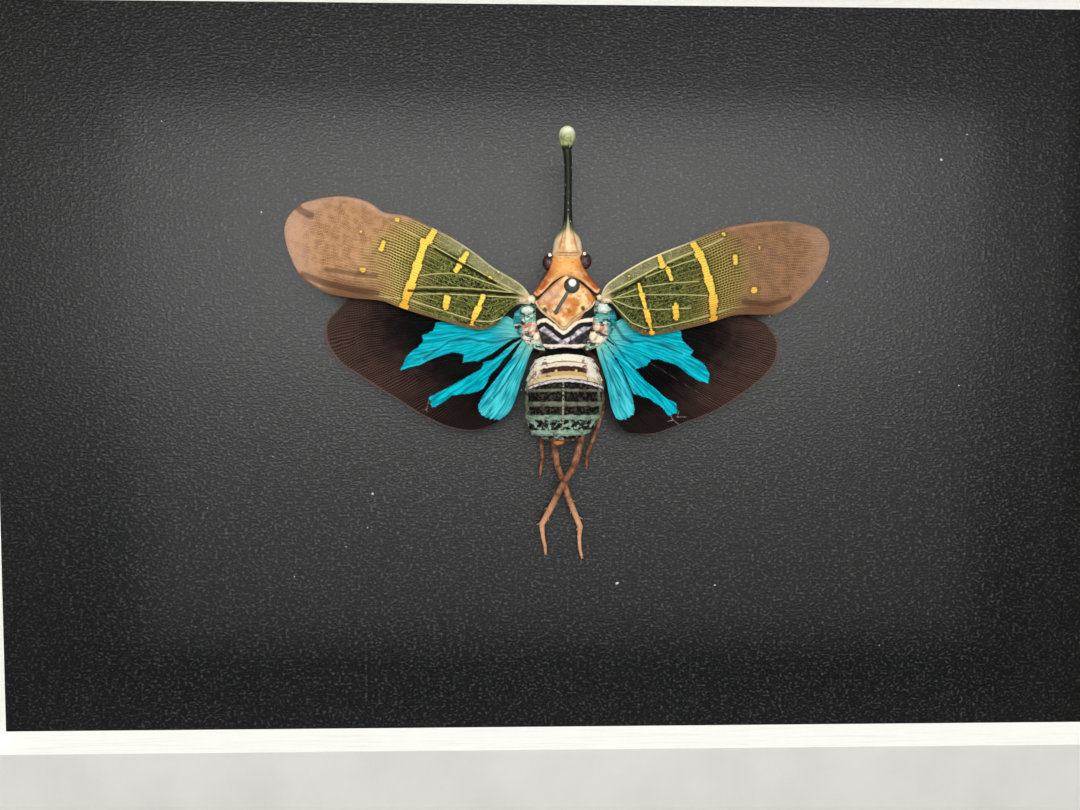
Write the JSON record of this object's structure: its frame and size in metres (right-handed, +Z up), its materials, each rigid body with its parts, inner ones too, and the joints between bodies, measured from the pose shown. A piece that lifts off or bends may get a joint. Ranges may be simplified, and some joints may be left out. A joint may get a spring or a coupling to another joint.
{
  "type": "framed lanternfly specimen",
  "caption": "Spread, pinned lanternfly on black card behind a bevelled mat and a clear pane in a deep wooden box frame; stands on its base or hangs.",
  "frame": {"origin": "bottom centre of the whole frame, on the surface that it stands on", "axes": "+Z up, +X to the right seen from the front, front face towards -Y, back and wall side towards +Y"},
  "size_m": [0.203, 0.042, 0.152],
  "materials": {
    "frame_wood": "satin walnut",
    "clear_pane": "clear, polished",
    "white_mat": "matt, fine tooth",
    "foam_board": "matt",
    "black_card": "matt, fibrous",
    "hardboard": "matt brown fibreboard",
    "zinc_steel": "zinc plated",
    "pin_steel": "polished",
    "grey_rubber": "matt",
    "snout_chitin": "glossy green-black, tan head",
    "tan_chitin": "satin, mottled",
    "dark_chitin": "satin, waxy bloom on the rims",
    "leg_chitin": "rough, spiny",
    "forewing_membrane": "satin, net-veined",
    "hindwing_membrane": "satin, pleated"
  },
  "bodies": {
    "root": {"rail_top": "frame_wood", "rail_bottom": "frame_wood", "rail_left": "frame_wood", "rail_right": "frame_wood", "glazing_pane": "clear_pane", "window_mat": "white_mat", "spacer_top": "foam_board", "spacer_bottom": "foam_board", "spacer_left": "foam_board", "spacer_right": "foam_board", "pinning_board": "black_card", "back_panel": "hardboard", "framer_point_1": "zinc_steel", "framer_point_2": "zinc_steel", "framer_point_3": "zinc_steel", "framer_point_4": "zinc_steel", "framer_point_5": "zinc_steel", "framer_point_6": "zinc_steel", "sawtooth_hanger": "zinc_steel", "hanger_nail_left": "zinc_steel", "hanger_nail_right": "zinc_steel", "wall_bumper_left": "grey_rubber", "wall_bumper_right": "grey_rubber", "head": "snout_chitin", "thorax": "tan_chitin", "abdomen": "dark_chitin", "left_forewing": "forewing_membrane", "right_forewing": "forewing_membrane", "left_hindwing": "hindwing_membrane", "right_hindwing": "hindwing_membrane", "front_leg_left": "leg_chitin", "front_leg_right": "leg_chitin", "middle_leg_left": "leg_chitin", "middle_leg_right": "leg_chitin", "hind_leg_left": "leg_chitin", "hind_leg_right": "leg_chitin", "pin": "pin_steel"}
  },
  "joints": []
}
